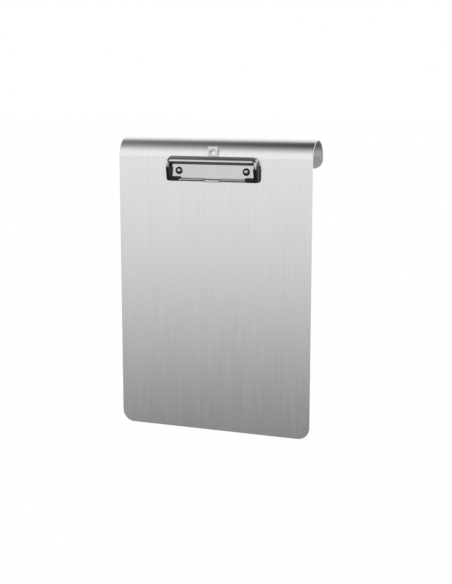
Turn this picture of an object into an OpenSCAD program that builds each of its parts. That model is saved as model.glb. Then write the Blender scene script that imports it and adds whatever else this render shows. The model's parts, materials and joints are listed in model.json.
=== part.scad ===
// Hook-over clipboard: a bent aluminium board with a low spring clip riveted to its front.
// Millimetres. The origin is on the axis of the hook bend, halfway along it.
// +X runs along the hook, +Y from the writing face to the back, +Z up.

/* [Board] */
// Width of the board
board_w = 230; // [200:1:300]
// Straight length of the front sheet, from the foot of the hook bend to the bottom edge
board_h = 313.6; // [250:0.1:420]
// Thickness of the aluminium sheet
sheet_t = 1.5; // [1:0.1:2]
// Radius of the two bottom corners
corner_r = 14; // [5:0.5:25]

/* [Hook] */
// Inner radius of the bend that sits on a rail
hook_r = 19.7; // [15:0.1:25]
// Straight length of the sheet below the bend at the back
lip_drop = 11.8; // [8:0.1:20]
// Radius of the two corners of the hook's free edge
lip_corner_r = 11; // [2:0.5:11.5]

/* [Clip plate] */
// Distance of the rivet line below the foot of the bend
clip_drop = 14.4; // [14:0.1:40]
// Distance between the two rivets
rivet_pitch = 80; // [60:1:84]
// Length of the clip's base plate
plate_w = 98.4; // [97:0.1:98.6]
// Thickness of the base plate
plate_t = 0.8; // [0.6:0.05:0.8]
// Free height behind the base plate, in which the hanger slides
plate_gap = 1.2; // [1.1:0.05:1.4]
// Outer radius of the roll where it goes round the pivot rod
roll_r = 3; // [2.9:0.05:3.2]
// Outer radius of the ridge along the top of the roll
ridge_r = 1.9; // [1.6:0.1:2.2]
// Height of the roll's top above the rivet line
roll_top = 16.4; // [16:0.1:16.8]

/* [Clamp bail] */
// Thickness of the bail's sheet
bail_t = 0.9; // [0.7:0.05:1]
// Width of the flange along the front of each arm
flange_w = 2.2; // [1.5:0.1:2.3]
// Lean of the jaw bar's face
bar_lean = 4; // [0:1:8]
// Width of the finger lip in the middle of the jaw
lip_w = 17; // [12:1:26]

/* [Corner caps] */
// Wall of the soft caps over the bail
cap_wall = 0.9; // [0.7:0.05:1]
// Outer radius of each cap's corner, seen from the front
cap_r = 4; // [2:0.5:5]
// Where the foot of each cap ends, from the middle
cap_foot_x = 39.6; // [32:0.1:44]

/* [Hanger] */
// Width of the pull-out hanger
hanger_w = 11.9; // [10:0.1:14]
// Thickness of the hanger
hanger_t = 0.8; // [0.5:0.1:0.9]
// Height of the hanger's top above the rivet line when it is pulled out
hanger_top = 27.2; // [24:0.1:32]
// Radius of the hanging hole
hole_r = 3.3; // [2:0.1:4]

/* [Hidden] */

fine = 96;                 // segments of a drawn circle
hook_out_r = hook_r + sheet_t;

rivet_r = 2;               // shank of each rivet
rivet_play = 0.05;         // the holes are wider by this
rim_r = 4.3;               // rim of the rivet head, round a groove and a dome
rim_h = 1;
dome_r = 2.65;
dome_top = 1.9;
tail_r = 3;                // closed end of each rivet on the back
tail_h = 0.9;
washer_r = 4.4;
washer_t = 0.8;

plate_bottom = -8;         // lower edge of the base plate
plate_back = -plate_gap;
plate_front = plate_back - plate_t;
axis_y = -6;               // the pivot rod
axis_z = 11;
ridge_y = plate_back - ridge_r;
ridge_z = roll_top - ridge_r;
reach = norm([ridge_y - axis_y, ridge_z - axis_z]);
slope = acos((ridge_r - roll_r) / reach) - atan2(ridge_z - axis_z, ridge_y - axis_y);
slope_run = sqrt(reach * reach - (roll_r - ridge_r) * (roll_r - ridge_r));
under = 74;                // how far the underside of the roll faces down
under_run = 3.9;
collar_r = 5.2;            // pressed feet around the rivets
rail_w = 2;                // guides beside the hanger
rail_low = 6;
rail_high = 10.3;
guide_play = 0.25;

rod_r = 1.2;
ear_hole_r = 1.3;
rod_head_r = 1.9;
rod_head_t = 0.5;
rod_head_x = 53.35;

wire_r = 0.35;             // spring wire
coil_r = 1.7;              // mean radius of the coil
coil_pitch = 0.95;
coil_turns = 9.75;
coil_start = 38.8;         // inner end of each coil, from the middle
turn_rings = 12;           // rings in one turn of the swept wire
wire_sides = 8;
leg_x = 50.3;              // the outer leg runs in the gap between roll and arm
leg_end = 53.3;
leg_hole_y = -5.9;         // hole in the arm that takes the outer leg
leg_hole_z = 6.7;
leg_hole_r = 1;

// The arm: height, x and y of its back edge, x and y of its front edge, width of its flange
arm = [[-9.2, 55.2, -1.3, 53.3, -4.98, 1], [-6, 55.2, -1.3, 53.2, -5.8, 1],
       [-2, 55.2, -1.3, 53, -6.95, 1], [2, 55.15, -1.3, 52.8, -8.15, 1],
       [4.5, 55, -1.3, 52.7, -8.6, 1], [7, 54.6, -1.3, 52.6, -8.8, 1],
       [9, 54.1, -1.3, 52.5, -8.95, 0.8], [11, 53.4, -1.3, 52.3, -9.05, 0.5],
       [12.5, 52.8, -1.3, 52, -8.7, 0.45], [13.7, 52.2, -1.5, 51.6, -7.6, 0.45],
       [14.7, 51.6, -2, 51.2, -6.3, 0.45], [15.5, 51, -2.8, 50.8, -5.2, 0.45],
       [16, 50.6, -3.6, 50.5, -4.4, 0.45]];

bar_top = -6.8;            // upper edge of the jaw bar
bend_y = -4;               // centre of the bend between the bar and its foot
bend_z = -9.2;
bend_r = 1.2;
foot_end = -0.3;           // the foot rests this near the board
foot_z = bend_z - bend_r;

cap_bottom = -10.9;
cap_leg_top = -5.9;
cap_inner_x = 49.9;
cap_back = -1;
cap_levels = [cap_bottom, -9.2, -6, -2, 2, 4.5, 7.4];

hanger_back = -0.2;
hanger_foot_w = 18;        // wide foot that stops the hanger under its guides
hanger_foot_h = 3;
hanger_low = rail_low - 0.05 - hanger_foot_h;
hole_z = hanger_top - 6.1;

aluminium = [0.80, 0.81, 0.81];
nickel = [0.74, 0.74, 0.73];
rivet_metal = [0.62, 0.62, 0.61];
spring_steel = [0.42, 0.42, 0.43];
soft_black = [0.06, 0.06, 0.065];

// Points of an arc, angles in degrees
function arc(centre, r, from, to, steps = 10) =
    [for (i = [0:steps]) let (a = from + (to - from) * i / steps)
        centre + r * [cos(a), sin(a)]];

function reversed(list) = [for (i = [len(list) - 1:-1:0]) list[i]];

// Points along a folded sheet, at a depth below its outer face, from p on with a lean of a
function fold_points(steps, depth, p, a = 0, i = 0) =
    let (q = p + steps[i][0] * [-sin(a), cos(a)], out = [cos(a), sin(a)])
    i + 1 == len(steps) ? [q - depth * out]
    : let (r = steps[i][1], b = a + steps[i][2], centre = q - r * out)
        concat(arc(centre, r - depth, a, b, 18),
               fold_points(steps, depth, centre + r * [cos(b), sin(b)], b, i + 1));

// One column of the arm's table, at a height
function arm_at(z, column) = lookup(z, [for (row = arm) [row[0], row[column]]]);

// The jaw bar's face: its y at a height, and the same line moved outwards
function bar_y(z, out = 0) =
    bend_y - (bend_r + out) / cos(bar_lean) - (z - bend_z) * tan(bar_lean);

// Direction of a path at point i, and a vector carried along the path square to it
function unit(v) = v / norm(v);
function heading(path, i) =
    unit(path[min(i + 1, len(path) - 1)] - path[min(max(i - 1, 0), len(path) - 2)]);
function turned(path, i, u) = let (t = heading(path, i)) unit(u - (u * t) * t);

// A point near the pivot: its x, then a radius and an angle about the axis
function about_axis(x, r, a) = [x, axis_y + r * cos(a), axis_z + r * sin(a)];

// Carries clip parts to the front face of the board
module at_clip() {
    translate([0, -hook_out_r, -clip_drop]) children();
}

// Draws a (y, z) outline along X, from x = from to x = to
module along_x(from, to) {
    translate([from, 0, 0]) rotate([90, 0, 90]) linear_extrude(to - from) children();
}

// Draws an (x, z) outline along Y, from y = from to y = to
module along_y(from, to) {
    translate([0, to, 0]) rotate([90, 0, 0]) linear_extrude(to - from) children();
}

// A round bar or bore along X
module rod_x(from, to, r, y, z) {
    translate([from, y, z]) rotate([0, 90, 0]) cylinder(h = to - from, r = r, $fn = fine);
}

// A round bar or bore along Y
module rod_y(from, to, r, x, z) {
    translate([x, to, z]) rotate([90, 0, 0]) cylinder(h = to - from, r = r, $fn = fine);
}

// Sheet outline hanging from z = 0, with its two lower corners rounded
module hanging_sheet(w, h, r) {
    intersection() {
        translate([-w / 2, -h]) square([w, h]);
        union() {
            translate([-w / 2, -h + r]) square([w, h]);
            translate([-w / 2 + r, -h]) square([w - 2 * r, h]);
            for (side = [-1, 1])
                translate([side * (w / 2 - r), -h + r]) circle(r, $fn = fine);
        }
    }
}

// A sheet rolled about an axis along X, starting on the +Y side
module rolled_sheet(w, outer_r, t, turn) {
    translate([-w / 2, 0, 0]) rotate([90, 0, 90])
        rotate_extrude(angle = turn, $fn = 2 * fine)
            translate([outer_r - t, 0]) square([t, w]);
}

// A sheet standing on its edge and folded forward. Each step is a straight run, the outer
// radius of the bend after it and the angle of that bend.
module folded_sheet(w, t, steps) {
    along_x(-w / 2, w / 2) polygon(concat(
        [[0, 0]], fold_points(steps, 0, [0, 0]),
        reversed(fold_points(steps, t, [0, 0])), [[-t, 0]]));
}

// A closed skin over rings that hold the same number of points
module skinned(rings) {
    sides = len(rings[0]);
    last = len(rings) - 1;
    skin = [for (i = [0:last - 1], k = [0:sides - 1])
        let (n = (k + 1) % sides, a = i * sides + k, b = i * sides + n)
        each [[b, a, b + sides], [b + sides, a, a + sides]]];
    start = [[for (k = [0:sides - 1]) k]];
    end = [[for (k = [sides - 1:-1:0]) last * sides + k]];
    polyhedron(points = [for (ring = rings) each ring], faces = concat(start, skin, end),
               convexity = 8);
}

// A wire swept along a list of points
module swept_wire(path, r, sides) {
    last = len(path) - 1;
    across = [for (i = 0, u = turned(path, 0, [1, 0, 0]); i <= last;
                   i = i + 1, u = turned(path, i, u)) u];
    skinned([for (i = [0:last]) [for (k = [0:sides - 1]) let (a = 360 * k / sides)
        path[i] + r * (cos(a) * across[i] + sin(a) * cross(heading(path, i), across[i]))]]);
}

// The board: front sheet, hook bend and short free edge, bent from one sheet
module board() {
    color(aluminium) difference() {
        union() {
            along_y(-hook_out_r, -hook_r) hanging_sheet(board_w, board_h, corner_r);
            rolled_sheet(board_w, hook_out_r, sheet_t, 180);
            along_y(hook_r, hook_out_r) hanging_sheet(board_w, lip_drop, lip_corner_r);
        }
        at_clip() for (side = [-1, 1])
            rod_y(-1, sheet_t + 1, rivet_r + rivet_play, side * rivet_pitch / 2, 0);
    }
}

// The base plate: a flat face, then a ridge, a sloping roof and the roll round the rod
module base_plate() {
    half = plate_w / 2;
    color(nickel) at_clip() difference() {
        union() {
            translate([0, plate_back, plate_bottom])
                folded_sheet(plate_w, plate_t, [[ridge_z - plate_bottom, ridge_r, 180 - slope],
                                                [slope_run, roll_r, slope + under],
                                                [under_run]]);
            for (side = [-1, 1])
                rod_y(plate_back - plate_t / 2, 0, collar_r, side * rivet_pitch / 2, 0);
            for (side = [0, 1]) mirror([side, 0, 0]) {
                // Guides that keep the hanger straight and stop its foot
                translate([hanger_w / 2 + guide_play, plate_back - plate_t / 2, rail_low])
                    cube([rail_w, plate_gap + plate_t / 2, rail_high - rail_low]);
                // Ends of the plate turned back onto the board
                translate([half - plate_t, plate_front, plate_bottom + 2])
                    cube([plate_t, -plate_front, 13]);
            }
        }
        for (side = [-1, 1])
            rod_y(plate_front - 1, 1, rivet_r + rivet_play, side * rivet_pitch / 2, 0);
    }
}

// A rivet: domed head with a grooved rim, shank through the board, closed tail on the washer
module rivet(side) {
    tail_y = sheet_t + washer_t;
    rise = dome_top - rim_h;
    ball = (dome_r * dome_r + rise * rise) / (2 * rise);
    color(rivet_metal) at_clip() translate([side * rivet_pitch / 2, 0, 0]) {
        rod_y(plate_front, tail_y + tail_h / 2, rivet_r, 0, 0);
        translate([0, plate_front, 0]) rotate([90, 0, 0]) rotate_extrude($fn = fine)
            polygon(concat(
                [[0, 0], [rim_r, 0]],
                arc([rim_r - rim_h / 2, rim_h / 2], rim_h / 2, 0, 180, 8),
                [[dome_r + 0.25, 0.3], [dome_r, 0.5]],
                arc([0, dome_top - ball], ball, acos(dome_r / ball), 90, 6)));
        translate([0, tail_y, 0]) rotate([-90, 0, 0]) rotate_extrude($fn = fine)
            polygon(concat([[0, 0], [tail_r, 0]], arc([tail_r - tail_h, 0], tail_h, 0, 90, 6),
                           [[0, tail_h]]));
    }
}
module rivet_left() { rivet(-1); }
module rivet_right() { rivet(1); }

// Washers under the closed ends of the rivets, on the back of the board
module rivet_washer(side) {
    color(rivet_metal) at_clip() difference() {
        rod_y(sheet_t, sheet_t + washer_t, washer_r, side * rivet_pitch / 2, 0);
        rod_y(sheet_t - 1, sheet_t + washer_t + 1, rivet_r + rivet_play, side * rivet_pitch / 2, 0);
    }
}
module rivet_washer_left() { rivet_washer(-1); }
module rivet_washer_right() { rivet_washer(1); }

// The rod that the bail turns on, with a flattened head outside each arm
module pivot_rod() {
    color(rivet_metal) at_clip() {
        rod_x(-rod_head_x, rod_head_x, rod_r, axis_y, axis_z);
        for (side = [0, 1]) mirror([side, 0, 0])
            rod_x(rod_head_x, rod_head_x + rod_head_t, rod_head_r, axis_y, axis_z);
    }
}

// A torsion spring on the rod. Its inner leg leaves through the roll's slot and bears on the
// roll's free edge; its outer leg turns into the arm's hole. Opening the bail winds it up.
module torsion_spring(side) {
    x = coil_start;
    inner_leg = [[x - 0.5, -2.94, 6.17], [x - 0.5, -2.72, 6.94], [x - 0.45, -2.5, 7.71],
                 [x - 0.4, -2.75, 8.7], [x - 0.3, -3.7, 9.22], [x - 0.15, -4.9, 9.3]];
    coil = [for (i = [0:coil_turns * turn_rings])
        about_axis(x + coil_pitch * i / turn_rings, coil_r, 270 - 360 * i / turn_rings)];
    last_x = x + coil_pitch * coil_turns;
    outer_leg = [about_axis(last_x + 0.4, coil_r + 0.05, -20),
                 about_axis(last_x + 1.1, coil_r + 0.2, -42),
                 about_axis(last_x + 1.8, coil_r + 0.6, -60),
                 [leg_x, leg_hole_y + 0.75, leg_hole_z + 1.5],
                 [leg_x + 0.1, leg_hole_y + 0.2, leg_hole_z + 0.7],
                 [leg_x + 0.5, leg_hole_y, leg_hole_z + 0.1],
                 [leg_x + 1.2, leg_hole_y, leg_hole_z],
                 [leg_end, leg_hole_y, leg_hole_z]];
    color(spring_steel) at_clip() mirror([side < 0 ? 1 : 0, 0, 0])
        swept_wire(concat(inner_leg, coil, outer_leg), wire_r, wire_sides);
}
module torsion_spring_left() { torsion_spring(-1); }
module torsion_spring_right() { torsion_spring(1); }

// (y, z) section of the jaw bar, bent round into the foot that grips the paper
module bar_section() {
    bend = [bend_y, bend_z];
    front = 180 + bar_lean;
    polygon(concat(
        [[bar_y(bar_top), bar_top]],
        arc(bend, bend_r, front, 270),
        [[foot_end, foot_z], [foot_end, foot_z + bail_t]],
        arc(bend, bend_r - bail_t, 270, front),
        [[bar_y(bar_top) + bail_t / cos(bar_lean), bar_top]]));
}

// (y, z) section of the finger lip: the foot runs forward and down past the bar's face
module lip_section() {
    polygon(concat(
        [[foot_end, foot_z], [foot_end, foot_z + bail_t], [-2.4, -8.9], [-6.1, -9.9]],
        arc([-6.15, -10.35], 0.45, 90, 270, 6),
        [[-3, foot_z]]));
}

// Right arm: from the jaw's corner up past the rod, its top drawn in over the roll's end
module arm_right() {
    difference() {
        skinned([for (row = arm) let (z = row[0], w = max(row[5] * flange_w, bail_t + 0.05)) [
            [row[1] - bail_t, row[2], z], [row[3] - bail_t, row[4] + bail_t, z],
            [row[3] - w, row[4] + bail_t, z], [row[3] - w, row[4], z],
            [row[3], row[4], z], [row[1], row[2], z]]]);
        rod_x(leg_x, leg_end + 3, leg_hole_r, leg_hole_y, leg_hole_z);
        rod_x(leg_x - 2, leg_end + 3, ear_hole_r, axis_y, axis_z);
        rod_x(rod_head_x - 0.05, leg_end + 3, rod_head_r + 0.2, axis_y, axis_z);
    }
}

// Right half of the bail: arm and half of the jaw
module half_bail() {
    arm_right();
    along_x(lip_w / 2 + 2.5, arm[1][3]) bar_section();
    along_x(0, lip_w / 2) lip_section();
    // The sheet sweeps from the bar's section into the lip's
    hull() {
        along_x(lip_w / 2 + 2.5, lip_w / 2 + 2.6) polygon([
            [bar_y(bar_top), bar_top], [bar_y(bend_z), bend_z],
            [bend_y, foot_z], [bend_y + 1, bend_z]]);
        along_x(lip_w / 2 - 0.1, lip_w / 2) polygon([
            [-2.4, -8.9], [-6.1, -9.9], [-6.1, -10.7], [-3, foot_z]]);
    }
    along_x(lip_w / 2, lip_w / 2 + 2.5) polygon([
        [foot_end, foot_z], [foot_end, foot_z + bail_t],
        [bend_y, foot_z + bail_t], [bend_y, foot_z]]);
}

// The clamp bail, one stamping
module bail_body() {
    half_bail();
    mirror([1, 0, 0]) half_bail();
}
module clamp_bail() {
    color(nickel) at_clip() bail_body();
}

// Right cap: a sleeve over the corner of the bail, with a leg up the arm and a foot on the bar
module cap_body() {
    difference() {
        intersection() {
            hull() {
                cap_slice(-10, 52.6, 55);
                cap_slice(0, 56.6, 57.5);
            }
            union() {
                intersection() {
                    skinned([for (z = cap_levels) let (front = arm_at(z, 4) - cap_wall,
                                                       side = arm_at(z, 3) + cap_wall,
                                                       back = arm_at(z, 1) + cap_wall) [
                        [back, cap_back, z], [cap_inner_x, cap_back, z],
                        [cap_inner_x, front, z], [side - 1.1, front, z],
                        [side - 0.35, front + 0.35, z], [side + 0.2, front + 1.2, z]]]);
                    along_x(cap_inner_x - 1, 58) cap_side_section();
                }
                along_x(cap_foot_x - 2, cap_inner_x + 0.5) cap_foot_section();
            }
        }
        bail_body();
    }
}

// (x, z) outline round the right cap at a depth y, with its low and high right-hand edge
module cap_slice(y, low, high) {
    along_y(y, y + 0.1) polygon(concat(
        [[high, 12], [cap_inner_x, 12], [cap_foot_x - 0.5, cap_leg_top - 0.8],
         [cap_foot_x + 0.9, cap_bottom]],
        arc([low - cap_r, cap_bottom + cap_r], cap_r, 270, 360)));
}

// (y, z) section of the side leg: low in front, high beside the arm, rounded at the back
module cap_side_section() {
    polygon(concat(
        arc([-2.2, 6], 1.2, 0, 90, 6), [[-4.4, 7.2], [-6.3, 3.5], [-12, 3.5], [-12, -9.5]],
        arc([-4.5, -9.5], -9.5 - cap_bottom, 180, 270, 8),
        [[foot_end, cap_bottom], [foot_end, cap_bottom + 1.8], [cap_back, -8]]));
}

// (y, z) section of the foot: it wraps the bar's face and its gripping edge
module cap_foot_section() {
    polygon(concat(
        [[bar_y(cap_leg_top) + bail_t + cap_wall, cap_leg_top],
         [bar_y(cap_leg_top, cap_wall), cap_leg_top], [bar_y(-9.4, cap_wall), -9.4]],
        arc([-4.6, -9.4], -9.4 - cap_bottom, 190, 270, 8),
        [[foot_end, cap_bottom], [foot_end, cap_bottom + 1.8],
         [bend_y + 0.9, cap_bottom + 1.8]]));
}

module corner_cap_right() {
    color(soft_black) at_clip() cap_body();
}
module corner_cap_left() {
    color(soft_black) at_clip() mirror([1, 0, 0]) cap_body();
}

// The pull-out hanger, with a round hanging hole and a wide foot
module hanger_tab() {
    corner = 1;
    half = hanger_w / 2;
    color(nickel) at_clip() difference() {
        along_y(hanger_back - hanger_t, hanger_back) union() {
            translate([-half, hanger_low]) square([hanger_w, hanger_top - corner - hanger_low]);
            translate([-half + corner, hanger_low])
                square([hanger_w - 2 * corner, hanger_top - hanger_low]);
            for (side = [-1, 1])
                translate([side * (half - corner), hanger_top - corner]) circle(corner, $fn = fine);
            translate([-hanger_foot_w / 2, hanger_low]) square([hanger_foot_w, hanger_foot_h]);
        }
        rod_y(-3, 1, hole_r, 0, hole_z);
    }
}

board();
base_plate();
rivet_left();
rivet_right();
rivet_washer_left();
rivet_washer_right();
pivot_rod();
torsion_spring_left();
torsion_spring_right();
clamp_bail();
corner_cap_left();
corner_cap_right();
hanger_tab();
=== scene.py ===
import json
import math

import bmesh
import bpy
from mathutils import Matrix, Vector


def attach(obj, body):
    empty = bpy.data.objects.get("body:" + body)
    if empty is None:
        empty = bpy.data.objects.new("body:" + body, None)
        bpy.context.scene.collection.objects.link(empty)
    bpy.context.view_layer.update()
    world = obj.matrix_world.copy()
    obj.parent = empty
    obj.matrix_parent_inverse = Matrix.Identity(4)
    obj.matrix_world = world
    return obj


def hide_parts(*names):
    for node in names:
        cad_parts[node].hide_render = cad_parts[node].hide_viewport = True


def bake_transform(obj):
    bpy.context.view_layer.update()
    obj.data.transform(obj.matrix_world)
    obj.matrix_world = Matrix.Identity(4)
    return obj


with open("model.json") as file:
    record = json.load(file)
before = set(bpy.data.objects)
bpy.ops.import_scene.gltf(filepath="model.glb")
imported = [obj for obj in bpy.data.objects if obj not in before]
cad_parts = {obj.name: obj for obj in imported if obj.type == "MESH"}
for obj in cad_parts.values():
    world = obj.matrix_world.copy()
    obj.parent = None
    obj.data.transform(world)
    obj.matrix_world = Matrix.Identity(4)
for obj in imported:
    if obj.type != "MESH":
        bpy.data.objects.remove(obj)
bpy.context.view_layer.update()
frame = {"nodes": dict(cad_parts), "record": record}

# The pieces are drawn in millimetres, as the CAD is, and brought to metres when they are finished.
MM = 0.001

# Corners nearer than this are one corner, and a corner this near to an edge is on it.
WELD = 0.0005
NEAR = 0.001

# Board
BOARD_W = 230.0
BOARD_H = 313.6
SHEET_T = 1.5
HOOK_R = 21.2
CORNER_R = 14.0
LIP_DROP = 11.8
LIP_CORNER_R = 11.0

# Clip, measured from the middle of its rivet line on the front of the board
CLIP = Vector((0.0, -21.2, -14.4))
RIVET_X = 40.0
PLATE_HALF = 49.2
PLATE_T = 0.8
PLATE_BACK = -1.2
PLATE_LOW = -8.0
AXIS_Y = -6.0
AXIS_Z = 11.0
RIDGE_Y = -3.1
RIDGE_Z = 14.5
RIDGE_R = 1.9
SLOPE = 53.65
ROOF_BULGE = 9.0
ROOF_R = 30.6
UNDER = 74.0
UNDER_RUN = 3.9
BAIL_T = 0.9
BAR_TOP = -8.5
BAR_LOW = -11.6
FOOT_END = -0.3

# How the jaw changes along X: a distance from the middle, and the run of the change beyond it.
# TUCK is how far the bar's ends are drawn in and up; it brings the foot there 0.1 into the board.
BAR_RISE = (8.5, 2.3)
LIP_FADE = (8.0, 2.8)
BAR_TUCK = (46.5, 1.5)
TUCK = 0.4
BAR_END = 51.5

# Caps: how far their lower part is brought down with the jaw, and the short bars, from one (x, y)
# to another at a height, that fill out the corner under the bar's end
CAP_TURN = -5.0
CAP_LOWER = 0.75
CAP_FILLS = [((52.7, -5.5), (54.2, -1.7), -9.2), ((51.4, -4.9), (53.4, -3.0), -9.8)]
CAP_FILL_R = 0.95
CAP_VOXEL = 0.22

# Rod and springs
ROD_R = 1.2
ROD_END = 52.8
ROD_HEAD_R = 1.5
ROD_HEAD = (52.6, 52.9)
WIRE_R = 0.35
COIL_X = 38.8
COIL_R = 1.7
COIL_PITCH = 0.95
COIL_TURNS = 9.75
COIL_STEPS = 24
LEG_HOLE = (-5.9, 6.7)
LEG_HOLE_R = 1.0

# Hanging tab
HANGER_T = 0.8
HANGER_FRONT = -1.0
HANGER_TOP = 27.2
HANGER_LOW = 5.0
HANGER_HALF = 5.95
HANGER_HOLE_R = 3.3
HANGER_HOLE_DROP = 6.1
HANGER_CORNER_R = 0.5
HANGER_FOOT = ((-9.0, -1.0, 2.95), (9.0, -0.2, 5.95))

# The bail's arm: height, x and y of its back edge, x and y of its front corner, flange width
ARM = [(-9.2, 54.0, -1.3, 52.4, -4.98, 2.2), (-8.0, 54.9, -1.3, 53.1, -5.3, 2.2),
       (-6.0, 55.2, -1.3, 53.2, -5.8, 2.2),
       (-2.0, 55.2, -1.3, 53.0, -6.95, 2.2), (2.0, 55.15, -1.3, 52.8, -8.15, 2.2),
       (4.5, 55.0, -1.3, 52.7, -8.6, 2.2), (7.0, 54.6, -1.3, 52.6, -8.8, 2.2),
       (9.0, 54.1, -1.3, 52.5, -8.95, 1.8), (10.0, 53.8, -1.3, 52.4, -9.02, 1.45),
       (11.0, 53.4, -1.3, 52.4, -8.7, 1.1), (12.5, 52.8, -1.3, 52.2, -7.1, 1.0),
       (13.7, 52.2, -1.5, 51.8, -5.2, 1.0), (14.7, 51.6, -2.0, 51.4, -4.1, 1.0),
       (15.5, 51.0, -2.5, 50.9, -3.6, 1.0), (16.0, 50.6, -2.8, 50.5, -3.5, 1.0)]


def arc(centre, radius, start, end, steps=8):
    """Points of an arc, angles in degrees."""
    angles = [math.radians(start + (end - start) * i / steps) for i in range(steps + 1)]
    return [(centre[0] + radius * math.cos(a), centre[1] + radius * math.sin(a)) for a in angles]


# ---------------------------------------------------------------------------
# Finishes
# ---------------------------------------------------------------------------

class Value:
    """A socket that takes part in Python arithmetic; each operation adds its node."""

    def __init__(self, tree, socket):
        self.tree = tree
        self.socket = socket

    def math(self, operation, *terms):
        return self.tree.node("ShaderNodeMath", {"operation": operation}, dict(enumerate(terms)))

    def __add__(self, other):
        return self.math("ADD", self, other)

    __radd__ = __add__

    def __sub__(self, other):
        return self.math("SUBTRACT", self, other)

    def __rsub__(self, other):
        return self.math("SUBTRACT", other, self)

    def __mul__(self, other):
        return self.math("MULTIPLY", self, other)

    __rmul__ = __mul__

    def __abs__(self):
        return self.math("ABSOLUTE", self)

    def between(self, low, high):
        """0 below low, 1 above high, and straight between."""
        return self.tree.node("ShaderNodeMapRange", {"clamp": True},
                              {"Value": self, "From Min": low, "From Max": high})


class Finish:
    """The node tree of a material or of the world."""

    def __init__(self, owner):
        owner.use_nodes = True
        self.owner = owner
        self.tree = owner.node_tree
        self.tree.nodes.clear()

    def node(self, kind, settings=None, inputs=None, output=0):
        """Adds a node: its settings first, then its inputs as numbers, colours or other values."""
        made = self.tree.nodes.new(kind)
        for name, setting in (settings or {}).items():
            if name == "stops":
                ramp = made.color_ramp
                while len(ramp.elements) < len(setting):
                    ramp.elements.new(0.5)
                for stop, (place, level) in zip(ramp.elements, setting):
                    stop.position = place
                    stop.color = (level, level, level, 1.0)
            else:
                setattr(made, name, setting)
        for name, given in (inputs or {}).items():
            if isinstance(given, Value):
                self.tree.links.new(given.socket, made.inputs[name])
            else:
                made.inputs[name].default_value = given
        return Value(self, made.outputs[output] if len(made.outputs) else None)

    def place(self, scale):
        """Object coordinates, stretched by a Mapping node."""
        where = self.node("ShaderNodeTexCoord", output="Object")
        return self.node("ShaderNodeMapping", {"vector_type": "POINT"},
                         {"Vector": where, "Scale": scale})

    def grain(self, scale, detail=2.0, roughness=0.5):
        """Noise from about 0 to 1 on stretched Object coordinates."""
        return self.node("ShaderNodeTexNoise", {"noise_dimensions": "3D"},
                         {"Vector": self.place(scale), "Scale": 1.0, "Detail": detail,
                          "Roughness": roughness})

    def along(self, vector, way):
        """How far a vector points along a way."""
        return self.node("ShaderNodeVectorMath", {"operation": "DOT_PRODUCT"},
                         {0: vector, 1: way}, output="Value")

    def measure(self, axis):
        """Where a point of the part lies along an axis, in millimetres."""
        way = [1 / MM if axis == name else 0.0 for name in "XYZ"]
        return self.along(self.node("ShaderNodeTexCoord", output="Object"), way)

    def shade(self, low, high, mix):
        """A colour between two, by a value."""
        return self.node("ShaderNodeMix", {"data_type": "RGBA"},
                         {"Factor": mix, 6: (*low, 1.0), 7: (*high, 1.0)}, output=2)

    def blend(self, one, other, mix):
        """One colour where mix is 0, the other where it is 1."""
        return self.node("ShaderNodeMix", {"data_type": "RGBA"},
                         {"Factor": mix, 6: one, 7: other}, output=2)

    def relief(self, height, strength, depth):
        """A normal from a height."""
        return self.node("ShaderNodeBump", None,
                         {"Height": height, "Strength": strength, "Distance": depth})

    def surface(self, **sockets):
        """The Principled surface of a material."""
        made = self.node("ShaderNodeBsdfPrincipled", None,
                         {name.replace("_", " "): given for name, given in sockets.items()})
        self.node("ShaderNodeOutputMaterial", None, {"Surface": made})
        return self.owner


def brushed_aluminium():
    """Satin sheet, brushed straight down the board and round the hook; its inner side is duller."""
    finish = Finish(bpy.data.materials.new("brushed_aluminium"))
    fine = finish.grain((2600.0, 30.0, 30.0), 3.0, 0.6)
    streak = finish.grain((620.0, 16.0, 16.0), 4.0, 0.7)
    broad = finish.grain((90.0, 7.0, 7.0), 2.0, 0.5)
    lines = fine * 0.4 + streak * 0.4 + broad * 0.2
    deep = finish.measure("Y")
    high = finish.measure("Z")
    high = high.math("MAXIMUM", high, 0.0)
    depth = deep.math("SQRT", deep * deep + high * high)
    inner = 1 - depth.between(20.1, 20.9)
    brushed = finish.shade((0.78, 0.785, 0.79), (0.90, 0.905, 0.91), lines.between(0.3, 0.7))
    rolled = finish.shade((0.70, 0.705, 0.71), (0.79, 0.795, 0.80), lines.between(0.3, 0.7))
    return finish.surface(
        Base_Color=finish.blend(brushed, rolled, inner),
        Metallic=1.0,
        Roughness=0.16 + lines * 0.12 + inner * 0.15,
        Normal=finish.relief(lines, 0.4, 0.00004))


def nickel_plate():
    """Bright nickel plating with the slightest haze; on the arms' outer sides it is rougher, and
    painted shade darkens its colour.
    """
    finish = Finish(bpy.data.materials.new("nickel_plate"))
    haze = finish.grain((60.0, 60.0, 60.0), 4.0, 0.6)
    wipe = finish.grain((900.0, 900.0, 60.0), 2.0, 0.5)
    # Painted shade: the arms' outer sides, found by X, get a dark colour blended in, and also more
    # roughness.
    outer_side_shade = abs(finish.measure("X")).between(52.9, 53.4)
    plated = finish.shade((0.635, 0.635, 0.63), (0.68, 0.68, 0.675), haze.between(0.3, 0.7))
    return finish.surface(
        Base_Color=finish.blend(plated, (0.10, 0.10, 0.10, 1.0), outer_side_shade * 0.9),
        Metallic=1.0,
        Roughness=0.07 + haze.between(0.4, 0.8) * 0.05 + wipe * 0.03 + outer_side_shade * 0.2,
        Normal=finish.relief(wipe, 0.08, 0.00002))


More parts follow.
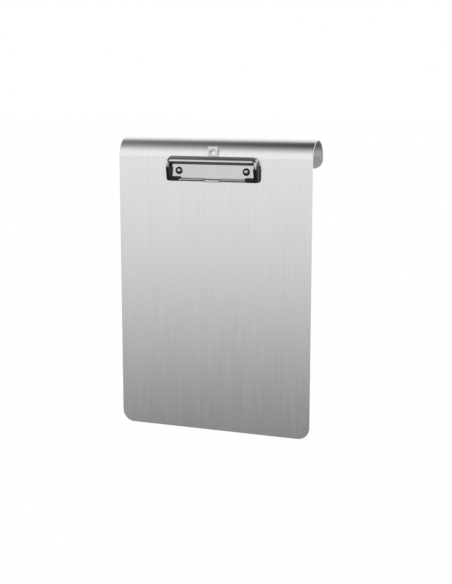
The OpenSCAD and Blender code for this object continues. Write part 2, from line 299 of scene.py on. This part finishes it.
def rivet_metal():
    """Plated rivets, duller where the setting tool pressed them, with painted shade darkening the
    groove.
    """
    finish = Finish(bpy.data.materials.new("rivet_metal"))
    marks = finish.grain((700.0, 700.0, 700.0), 3.0, 0.6)
    across = abs(finish.measure("X")) - RIVET_X
    up = finish.measure("Z") - CLIP.z
    radius = across.math("SQRT", across * across + up * up)
    # Painted shade: a ring in the groove round each rivet's head is coloured nearly black, and also
    # made rougher.
    groove = radius.between(2.3, 2.7) * (1 - radius.between(3.9, 4.3))
    plated = finish.shade((0.44, 0.44, 0.44), (0.58, 0.58, 0.58), marks.between(0.3, 0.7))
    return finish.surface(
        Base_Color=finish.blend(plated, (0.02, 0.02, 0.02, 1.0), groove * 0.94),
        Metallic=1.0,
        Roughness=0.12 + marks * 0.12 + groove * 0.3,
        Normal=finish.relief(marks, 0.1, 0.00003))


def spring_steel():
    """Drawn spring wire, dark and slightly oily."""
    finish = Finish(bpy.data.materials.new("spring_steel"))
    drawn = finish.grain((900.0, 300.0, 300.0), 3.0, 0.6)
    return finish.surface(
        Base_Color=finish.shade((0.32, 0.32, 0.325), (0.46, 0.46, 0.465), drawn.between(0.3, 0.7)),
        Metallic=1.0,
        Roughness=0.22 + drawn * 0.15,
        Normal=finish.relief(drawn, 0.15, 0.00002))


def soft_black():
    """Moulded soft black plastic with a fine spark-eroded grain, and a painted highlight: a paler
    stripe along its sides.
    """
    finish = Finish(bpy.data.materials.new("soft_black"))
    skin = finish.grain((2200.0, 2200.0, 2200.0), 2.0, 0.6)
    cloud = finish.grain((220.0, 220.0, 220.0), 3.0, 0.5)
    across = abs(finish.measure("X"))
    # Painted highlight: a paler stripe of colour along the caps' sides, where their rounded corners
    # would catch the light.
    painted_highlight = across.between(54.2, 54.6) * (1 - across.between(54.9, 55.2))
    black = finish.shade((0.010, 0.010, 0.011), (0.018, 0.018, 0.019), cloud.between(0.3, 0.7))
    return finish.surface(
        Base_Color=finish.blend(black, (0.15, 0.15, 0.15, 1.0), painted_highlight * 0.8),
        Roughness=0.26 + cloud * 0.12,
        Specular_IOR_Level=0.3,
        Normal=finish.relief(skin, 0.25, 0.00006))


FINISHES = {"brushed_aluminium": brushed_aluminium(), "nickel_plate": nickel_plate(),
            "rivet_metal": rivet_metal(), "spring_steel": spring_steel(),
            "soft_black": soft_black()}


# ---------------------------------------------------------------------------
# Tools for the pieces
# ---------------------------------------------------------------------------

def as_object(bm, name):
    """Puts what was drawn into the scene."""
    mesh = bpy.data.meshes.new(name)
    bm.to_mesh(mesh)
    bm.free()
    made = bpy.data.objects.new(name, mesh)
    bpy.context.scene.collection.objects.link(made)
    return made


def to_frame(bm, at_clip=True):
    """Moves what was drawn to its place in the frame, in metres."""
    if at_clip:
        bmesh.ops.translate(bm, verts=bm.verts, vec=CLIP)
    bmesh.ops.scale(bm, verts=bm.verts, vec=(MM, MM, MM))


def finish_piece(bm, name, body, slot, nodes, sheet=0.0, edge=0.0, segments=3, sharp=35.0,
                 at_clip=True, drill=None, voxel=0.0):
    """Gives a drawn piece its thickness and softened edges, and puts it in the frame."""
    to_frame(bm, at_clip)
    piece = as_object(bm, name)
    for polygon in piece.data.polygons:
        polygon.use_smooth = True
    if sheet:
        shell = piece.modifiers.new("thickness", "SOLIDIFY")
        shell.thickness = sheet * MM
        shell.offset = -1.0
    if edge:
        soft = piece.modifiers.new("soft edges", "BEVEL")
        soft.width = edge * MM
        soft.segments = segments
        soft.limit_method = "ANGLE"
        soft.angle_limit = math.radians(sharp)
        soft.use_clamp_overlap = True
    if drill:
        hole = piece.modifiers.new("hole", "BOOLEAN")
        hole.operation = "DIFFERENCE"
        hole.solver = "EXACT"
        hole.object = drill
    if voxel:
        cast = piece.modifiers.new("moulded", "REMESH")
        cast.mode = "VOXEL"
        cast.voxel_size = voxel * MM
        cast.use_smooth_shade = True
        relax = piece.modifiers.new("rounded", "SMOOTH")
        relax.factor = 0.5
        relax.iterations = 6
    else:
        piece.modifiers.new("flat faces stay flat", "WEIGHTED_NORMAL").keep_sharp = True
    bpy.context.view_layer.update()
    evaluated = piece.evaluated_get(bpy.context.evaluated_depsgraph_get())
    made = bpy.data.meshes.new_from_object(evaluated)
    made.name = name
    piece.modifiers.clear()
    piece.data = made
    made.materials.clear()
    made.materials.append(FINISHES[slot])
    if drill:
        bpy.data.objects.remove(drill)
    if body:
        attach(piece, body)
    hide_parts(*nodes)
    return piece


def weld(bm):
    """Merges corners that were drawn twice."""
    bmesh.ops.remove_doubles(bm, verts=bm.verts, dist=WELD)


def outside_out(bm):
    """Turns the faces of closed shapes outwards, and those of an open sheet to one side."""
    bmesh.ops.recalc_face_normals(bm, faces=bm.faces)


def outward(bm, done, towards):
    """Turns the faces drawn since done so that they look towards a side; returns all faces."""
    drawn = [face for face in bm.faces if face not in done]
    bmesh.ops.recalc_face_normals(bm, faces=drawn)
    if sum(face.normal.dot(Vector(towards)) * face.calc_area() for face in drawn) < 0:
        bmesh.ops.reverse_faces(bm, faces=drawn)
    return set(bm.faces)


def loft(bm, chains):
    """Bridges chains of points one after another."""
    rows = [line(bm, chain) for chain in chains]
    for one, other in zip(rows, rows[1:]):
        bmesh.ops.bridge_loops(bm, edges=one + other)


def ring(bm, profile, x, steps=64):
    """Spins a profile of (radius, y) points about an axis along Y."""
    edges = line(bm, [(x + radius, y, 0) for radius, y in profile])
    turn(bm, edges, (x, 0, 0), (0, 1, 0), 360, steps)
    weld(bm)


def line(bm, points):
    """A chain of edges through a few points."""
    corners = [bm.verts.new(point) for point in points]
    return [bm.edges.new(pair) for pair in zip(corners, corners[1:])]


def turn(bm, edges, centre, axis, degrees, steps):
    """Spins edges about an axis; returns the edges that they end on."""
    made = bmesh.ops.spin(bm, geom=edges, cent=centre, axis=axis, dvec=(0, 0, 0),
                          angle=math.radians(degrees), steps=steps, use_merge=degrees == 360)
    return [item for item in made["geom_last"] if isinstance(item, bmesh.types.BMEdge)]


def pull(bm, edges, by):
    """Extrudes edges along a vector; returns the new edges."""
    made = bmesh.ops.extrude_edge_only(bm, edges=edges)["geom"]
    bmesh.ops.translate(bm, verts=[v for v in made if isinstance(v, bmesh.types.BMVert)], vec=by)
    return [item for item in made if isinstance(item, bmesh.types.BMEdge)]


def round_corners(bm, corners, radius, segments=12):
    """Rounds corners of a flat sheet."""
    bmesh.ops.bevel(bm, geom=corners, offset=radius, segments=segments, profile=0.5,
                    affect="VERTICES", material=-1, offset_type="OFFSET")


def block(bm, low, high):
    """A block between two corners."""
    low, high = Vector(low), Vector(high)
    made = bmesh.ops.create_cube(bm, size=1.0)["verts"]
    bmesh.ops.scale(bm, verts=made, vec=high - low)
    bmesh.ops.translate(bm, verts=made, vec=(low + high) / 2)


def bar(bm, start, end, radius, segments=48):
    """A round bar from one point to another."""
    start, end = Vector(start), Vector(end)
    made = bmesh.ops.create_cone(bm, cap_ends=True, segments=segments, radius1=radius,
                                 radius2=radius, depth=(end - start).length)["verts"]
    bmesh.ops.rotate(bm, verts=made, cent=(0, 0, 0),
                     matrix=Vector((0, 0, 1)).rotation_difference(end - start).to_matrix())
    bmesh.ops.translate(bm, verts=made, vec=(start + end) / 2)
    return made


# ---------------------------------------------------------------------------
# The board
# ---------------------------------------------------------------------------

def board_sheet():
    """One sheet: front, half-round hook and short free edge, drawn on its outer face."""
    bm = bmesh.new()
    half = BOARD_W / 2
    start = line(bm, [(-half, -HOOK_R, 0), (half, -HOOK_R, 0)])
    foot = pull(bm, start, (0, 0, -BOARD_H))
    round_corners(bm, list(foot[0].verts), CORNER_R, 20)
    start = [e for e in bm.edges if all(abs(v.co.z) < NEAR for v in e.verts)]
    back = turn(bm, start, (0, 0, 0), (1, 0, 0), -180, 72)
    free = pull(bm, back, (0, 0, -LIP_DROP))
    round_corners(bm, list(free[0].verts), LIP_CORNER_R, 16)
    weld(bm)
    outside_out(bm)
    front = min(bm.faces, key=lambda face: face.calc_center_median().z)
    if front.normal.y > 0:
        bmesh.ops.reverse_faces(bm, faces=bm.faces)
    finish_piece(bm, "aluminium_board", "board", "brushed_aluminium", ["board"],
                 sheet=SHEET_T, edge=0.3, segments=3, sharp=60, at_clip=False)


# ---------------------------------------------------------------------------
# The clip
# ---------------------------------------------------------------------------

def folded_plate():
    """The base plate: flat face, ridge, sloping roof and roll, drawn on the sheet's outer side."""
    bm = bmesh.new()
    first = line(bm, [(-PLATE_HALF, PLATE_BACK, PLATE_LOW), (PLATE_HALF, PLATE_BACK, PLATE_LOW)])
    ridge = pull(bm, first, (0, 0, RIDGE_Z - PLATE_LOW))
    start = 180 - SLOPE - ROOF_BULGE / 2
    roof = turn(bm, ridge, (0, RIDGE_Y, RIDGE_Z), (1, 0, 0), start, 20)
    way = Vector((0, math.cos(math.radians(start)), math.sin(math.radians(start))))
    middle = Vector((0, RIDGE_Y, RIDGE_Z)) + way * (RIDGE_R - ROOF_R)
    front = turn(bm, roof, middle, (1, 0, 0), ROOF_BULGE, 6)
    under = turn(bm, front, (0, AXIS_Y, AXIS_Z), (1, 0, 0), SLOPE + UNDER - ROOF_BULGE / 2, 24)
    way = math.radians(180 + UNDER)
    pull(bm, under, (0, -UNDER_RUN * math.sin(way), UNDER_RUN * math.cos(way)))
    weld(bm)
    outside_out(bm)
    face = max(bm.faces, key=lambda one: one.calc_area())
    if face.normal.y < 0:
        bmesh.ops.reverse_faces(bm, faces=bm.faces)
    finish_piece(bm, "folded_plate", "board", "nickel_plate", ["base_plate"],
                 sheet=PLATE_T, edge=0.18, segments=2, sharp=60)


def plate_feet():
    """What holds the plate off the board: pressed feet, end flanges and the hanger's guides."""
    bm = bmesh.new()
    for side in (-1, 1):
        ring(bm, [(0.0, -1.6), (4.9, -1.6), (5.2, -1.3), (5.2, 0.0), (0.0, 0.0)], side * RIVET_X)
        for low, high in (((48.4, -1.9, -6.0), (49.15, 0.0, 7.0)),
                          ((HANGER_HALF + 0.25, -1.6, 6.0), (HANGER_HALF + 2.25, 0.0, 10.3))):
            xs = sorted((side * low[0], side * high[0]))
            block(bm, (xs[0], *low[1:]), (xs[1], *high[1:]))
    outside_out(bm)
    finish_piece(bm, "plate_feet", "board", "nickel_plate", ["base_plate"], edge=0.15, segments=2)


def rivet(side, name):
    """A domed head in a grooved rim in front, and a closed tail on the washer at the back."""
    bm = bmesh.new()
    head = [(0.0, -3.9)] + [(2.4 * math.sin(a), -3.15 - 0.75 * math.cos(a))
                            for a in (math.radians(10 * i) for i in range(1, 9))]
    head += [(2.45, -2.9), (2.75, -2.55), (3.1, -2.5), (3.4, -2.65), (3.6, -2.9), (3.85, -3.0),
             (4.1, -2.92), (4.27, -2.7), (4.3, -2.4), (4.3, -2.0), (2.0, -2.0)]
    tail = [(2.0, 2.3), (2.95, 2.3), (3.0, 2.4), (2.93, 2.75), (2.7, 3.02), (2.4, 3.16),
            (2.0, 3.2), (0.0, 3.2)]
    ring(bm, head + tail, side * RIVET_X)
    outside_out(bm)
    finish_piece(bm, name, "board", "rivet_metal", [name.replace("grooved_", "")])


def washer(side, name):
    """A flat washer under a rivet's closed end."""
    bm = bmesh.new()
    ring(bm, [(2.05, 1.5), (4.4, 1.5), (4.4, 2.15), (4.25, 2.3), (2.05, 2.3), (2.05, 1.5)],
         side * RIVET_X)
    outside_out(bm)
    finish_piece(bm, name, "board", "rivet_metal", [name.replace("flat_", "rivet_")])


def hinge_rod():
    """The rod in the roll, its flat heads nearly level with the arms' outer sides."""
    bm = bmesh.new()
    bar(bm, (-ROD_END, AXIS_Y, AXIS_Z), (ROD_END, AXIS_Y, AXIS_Z), ROD_R)
    for side in (-1, 1):
        low, high = (side * x for x in ROD_HEAD)
        bar(bm, (low, AXIS_Y, AXIS_Z), (high, AXIS_Y, AXIS_Z), ROD_HEAD_R)
    finish_piece(bm, "hinge_rod", "board", "rivet_metal", ["pivot_rod"], edge=0.2)


def spring(side, name):
    """A wound spring: a leg out of the roll's slot, the coil on the rod, a leg into the arm."""
    def about(x, radius, degrees):
        a = math.radians(degrees)
        return (x, AXIS_Y + radius * math.cos(a), AXIS_Z + radius * math.sin(a))

    x = COIL_X
    end = x + COIL_PITCH * COIL_TURNS
    route = [(x - 0.45, -2.6, 7.4), (x - 0.4, -2.75, 8.7), (x - 0.3, -3.7, 9.22),
             (x - 0.15, -4.9, 9.3)]
    route += [about(x + COIL_PITCH * i / COIL_STEPS, COIL_R, 270 - 360 / COIL_STEPS * i)
              for i in range(int(COIL_TURNS * COIL_STEPS) + 1)]
    route += [about(end + 0.4, 1.75, -20), about(end + 1.1, 1.9, -42), about(end + 1.8, 2.3, -60),
              (50.3, -5.15, 8.2), (50.4, -5.7, 7.4), (50.8, -5.9, 6.8), (51.5, -5.9, 6.7),
              (53.3, -5.9, 6.7)]
    wire = bpy.data.curves.new(name, "CURVE")
    wire.dimensions = "3D"
    wire.bevel_depth = WIRE_R
    wire.bevel_resolution = 3
    wire.use_fill_caps = True
    run = wire.splines.new("POLY")
    run.points.add(len(route) - 1)
    for point, place in zip(run.points, route):
        point.co = (side * place[0], place[1], place[2], 1.0)
    drawn = bpy.data.objects.new(name, wire)
    bpy.context.scene.collection.objects.link(drawn)
    bpy.context.view_layer.update()
    bm = bmesh.new()
    bm.from_mesh(bpy.data.meshes.new_from_object(drawn))
    bpy.data.objects.remove(drawn)
    weld(bm)
    outside_out(bm)
    piece = finish_piece(bm, name, None, "spring_steel", [name.replace("wound", "torsion")])
    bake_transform(piece)


def arm_row(z, back_x, back_y, front_x, front_y, flange, side):
    """The arm's outline at one height: flange, rounded corner, wall."""
    corner = Vector((front_x, front_y))
    flat = Vector((front_x - flange, front_y))
    wall = Vector((back_x, back_y))
    reach = min(0.8, 0.45 * flange)
    one = corner + (flat - corner).normalized() * reach
    two = corner + (wall - corner).normalized() * reach
    turn_points = [one * (1 - t) ** 2 + corner * 2 * t * (1 - t) + two * t * t
                   for t in (i / 6 for i in range(7))]
    return [(side * p.x, p.y, z) for p in [flat, *turn_points, (two + wall) / 2, wall]]


def eased(x, start, run):
    """0 up to a distance from the middle and 1 a run further out, with a soft start and end."""
    way = min(max((abs(x) - start) / run, 0.0), 1.0)
    return way * way * (3 - 2 * way)


def bar_row(x):
    """The gripping bar's outline at one place along it: low at the lip, drawn in at its ends."""
    height = 0.2 + 0.8 * eased(x, *BAR_RISE)
    outline = arc((-3.6, BAR_TOP - 1.8), 1.8, 90, 150, 8) + [(-5.23, BAR_TOP - 1.02)]
    outline += arc((-3.36, BAR_LOW + 1.9), 1.9, 181, 270, 12) + [(FOOT_END, BAR_LOW)]
    inset = TUCK * eased(x, *BAR_TUCK)
    return [(x, y + inset, BAR_LOW + (z - BAR_LOW) * height + inset) for y, z in outline]


def lip_row(x):
    """The lip's outline at one place along it: forward from the foot, then down in a round nose."""
    reach = 1 - 0.5 * eased(x, *LIP_FADE)
    outline = [(FOOT_END, -8.6), (-1.2, -8.55)] + arc((-2.48, -11.65), 3.2, 94, 145, 12)
    outline += [(-5.17, -9.88), (-5.21, -10.0), (-5.19, -10.5), (-5.15, -11.4), (-5.08, -12.3)]
    return [(x, FOOT_END + (y - FOOT_END) * reach, z if z > -10 else -10 + (z + 10) * reach)
            for y, z in outline]


def clamp_arms():
    """The bail's arms: folded fronts, drawn-in tops and the holes for the springs' legs."""
    bm = bmesh.new()
    done = set()
    for side in (-1, 1):
        loft(bm, [arm_row(*row, side) for row in ARM])
        done = outward(bm, done, (side, -1, 0))
    cut = bmesh.new()
    bar(cut, (-60, *LEG_HOLE), (60, *LEG_HOLE), LEG_HOLE_R)
    to_frame(cut)
    finish_piece(bm, "clamp_arms", "bail", "nickel_plate", ["clamp_bail"], sheet=BAIL_T,
                 edge=0.16, segments=2, sharp=50, drill=as_object(cut, "drill"))


def clamp_jaw():
    """The bail's jaw: the gripping bar, one half each side, and the finger lip between them."""
    bm = bmesh.new()
    done = set()
    start, run = BAR_RISE
    stops = [start + run * i / 10 for i in range(11)] + [15.0, 20.0, 30.0, 40.0]
    stops += [BAR_TUCK[0], sum(BAR_TUCK), BAR_END]
    for side in (-1, 1):
        loft(bm, [bar_row(side * x) for x in stops])
        done = outward(bm, done, (0, -1, -0.2))
    start, run = LIP_FADE
    stops = [2.0, 4.0, 6.0] + [start + run * i / 10 for i in range(11)]
    loft(bm, [lip_row(x) for x in [-x for x in reversed(stops)] + [0.0] + stops])
    outward(bm, done, (0, -1, 1))
    finish_piece(bm, "clamp_jaw", "bail", "nickel_plate", ["clamp_bail"],
                 sheet=BAIL_T, edge=0.16, segments=2, sharp=50)


def moulded_cap(node_name, name):
    """A soft cap: the solid's, brought down with the jaw, filled out and rounded as moulded."""
    bm = bmesh.new()
    bm.from_mesh(frame["nodes"][node_name].data)
    bmesh.ops.scale(bm, verts=bm.verts, vec=(1 / MM, 1 / MM, 1 / MM))
    weld(bm)
    low = [v for v in bm.verts if v.co.z < CLIP.z + CAP_TURN]
    bmesh.ops.translate(bm, verts=low, vec=(0, 0, -CAP_LOWER))
    side = -1 if "left" in name else 1
    for start, end, height in CAP_FILLS:
        corner = bar(bm, (side * start[0], start[1], height - CAP_LOWER),
                     (side * end[0], end[1], height - CAP_LOWER), CAP_FILL_R, 24)
        bmesh.ops.translate(bm, verts=corner, vec=CLIP)
    finish_piece(bm, name, "bail", "soft_black", [node_name], at_clip=False,
                 voxel=CAP_VOXEL)


def hanging_tab():
    """The pull-out tab: a sheet drawn round its hole, with a wide foot behind the plate."""
    bm = bmesh.new()
    middle = HANGER_TOP - HANGER_HOLE_DROP
    hole = bmesh.ops.create_circle(bm, segments=64, radius=HANGER_HOLE_R)["verts"]
    edge = bmesh.ops.create_circle(bm, segments=64, radius=1.0)["verts"]
    for corner in edge:
        corner.co *= HANGER_HALF / max(abs(corner.co.x), abs(corner.co.y))
    bmesh.ops.bridge_loops(bm, edges=list(bm.edges))
    flat = hole + edge
    bmesh.ops.rotate(bm, verts=flat, cent=(0, 0, 0), matrix=Matrix.Rotation(math.pi / 2, 3, "X"))
    bmesh.ops.translate(bm, verts=flat, vec=(0, HANGER_FRONT, middle))
    for corner in edge:
        if corner.co.z > middle + HANGER_HALF - NEAR:
            corner.co.z = HANGER_TOP
        if corner.co.z < middle - HANGER_HALF + NEAR:
            corner.co.z = HANGER_LOW
    corners = [v for v in edge
               if v.co.z > HANGER_TOP - NEAR and abs(v.co.x) > HANGER_HALF - NEAR]
    round_corners(bm, corners, HANGER_CORNER_R, 4)
    outward(bm, set(), (0, -1, 0))
    finish_piece(bm, "hanging_tab", "hanger", "nickel_plate", ["hanger_tab"],
                 sheet=HANGER_T, edge=0.12, segments=2, sharp=60)
    foot = bmesh.new()
    block(foot, *HANGER_FOOT)
    finish_piece(foot, "tab_foot", "hanger", "nickel_plate", ["hanger_tab"], edge=0.15, segments=2)


board_sheet()
folded_plate()
plate_feet()
hinge_rod()
clamp_arms()
clamp_jaw()
hanging_tab()
for side, end in ((-1, "left"), (1, "right")):
    rivet(side, "grooved_rivet_" + end)
    washer(side, "flat_washer_" + end)
    spring(side, "wound_spring_" + end)
    moulded_cap("corner_cap_" + end, "moulded_cap_" + end)


# ---------------------------------------------------------------------------
# Studio: camera, floor, light
# ---------------------------------------------------------------------------

SENSOR = 36.0
FOCAL = 69.78
CAMERA_PLACE = (0.4521, -1.2020, 0.0751)
CAMERA_RIGHT = Vector((0.9379, 0.3469, 0.0))
CAMERA_UP = Vector((-0.0611, 0.1652, 0.9844))
FLOOR_HALF = 30.0
FLOOR_Z = -0.75
FLOOR_WHITE = 1.022
FLOOR_SEEN_WHITE = 0.95
WHITE = (1.0, 1.0, 1.0, 1.0)

# How bright the walls are, by how far up a direction points: -1 straight down, 1 straight up
BANDS = [(-1.0, 0.08), (-0.60, 0.10), (-0.35, 0.13), (-0.285, 0.19), (-0.25, 0.36), (-0.215, 0.55),
         (-0.155, 0.80), (-0.08, 0.92), (-0.02, 0.95), (0.05, 1.0), (0.45, 0.97), (0.59, 0.83),
         (0.72, 0.60), (0.84, 0.34), (0.93, 0.12), (0.97, 0.03), (1.0, 0.02)]


def studio_camera():
    """The photograph's view: slightly from the right and from above."""
    lens = bpy.data.cameras.new("photo_view")
    lens.sensor_fit = "AUTO"
    lens.sensor_width = SENSOR
    lens.lens = FOCAL
    lens.clip_start = 0.01
    view = bpy.data.objects.new("photo_view", lens)
    bpy.context.scene.collection.objects.link(view)
    turned = Matrix((CAMERA_RIGHT, CAMERA_UP, CAMERA_RIGHT.cross(CAMERA_UP))).transposed()
    view.matrix_world = Matrix.Translation(CAMERA_PLACE) @ turned.normalized().to_4x4()
    bpy.context.scene.camera = view


def studio_floor():
    """A plain pale floor, well below the hanging board; the camera sees it white."""
    bm = bmesh.new()
    made = bmesh.ops.create_grid(bm, x_segments=1, y_segments=1, size=FLOOR_HALF)["verts"]
    bmesh.ops.translate(bm, verts=made, vec=(0, 0, FLOOR_Z))
    piece = as_object(bm, "floor")
    finish = Finish(bpy.data.materials.new("pale_floor"))
    pale = finish.node("ShaderNodeBsdfDiffuse", None, {"Color": (0.9, 0.9, 0.9, 1.0)})
    white = finish.node("ShaderNodeEmission", None, {"Color": WHITE, "Strength": FLOOR_WHITE})
    seen = finish.node("ShaderNodeLightPath", output="Is Camera Ray")
    both = finish.node("ShaderNodeMixShader", None,
                       {0: seen * FLOOR_SEEN_WHITE, 1: pale, 2: white})
    finish.node("ShaderNodeOutputMaterial", None, {"Surface": both})
    piece.data.materials.append(finish.owner)
    piece.visible_glossy = False


def studio_world():
    """Soft light from pale walls all round, darker overhead and below; white behind the object."""
    world = bpy.data.worlds.new("studio")
    bpy.context.scene.world = world
    finish = Finish(world)
    towards = finish.node("ShaderNodeTexCoord", output="Generated")
    rise = finish.along(towards, (0.0, 0.0, 1.0))
    level = finish.node("ShaderNodeValToRGB", {"stops": [((t + 1) / 2, v) for t, v in BANDS]},
                        {"Fac": rise * 0.5 + 0.5})
    walls = finish.node("ShaderNodeBackground", None, {"Color": level, "Strength": 1.0})
    white = finish.node("ShaderNodeBackground", None, {"Color": WHITE, "Strength": 1.0})
    seen = finish.node("ShaderNodeLightPath", output="Is Camera Ray")
    mirrored = finish.node("ShaderNodeLightPath", output="Is Glossy Ray")
    behind = finish.along(towards, (0.0, 1.0, 0.0)).between(0.35, 0.85)
    both = finish.node("ShaderNodeMixShader", None,
                       {0: seen.math("MAXIMUM", seen, mirrored * behind), 1: walls, 2: white})
    finish.node("ShaderNodeOutputWorld", None, {"Surface": both})


studio_camera()
studio_floor()
studio_world()
bpy.context.scene.view_settings.view_transform = "Standard"

slots = {entry["node"]: entry["material_slot"] for entry in frame["record"]["subparts"]}
for node_name, thing in frame["nodes"].items():
    thing.data.materials.clear()
    thing.data.materials.append(FINISHES[slots[node_name]])
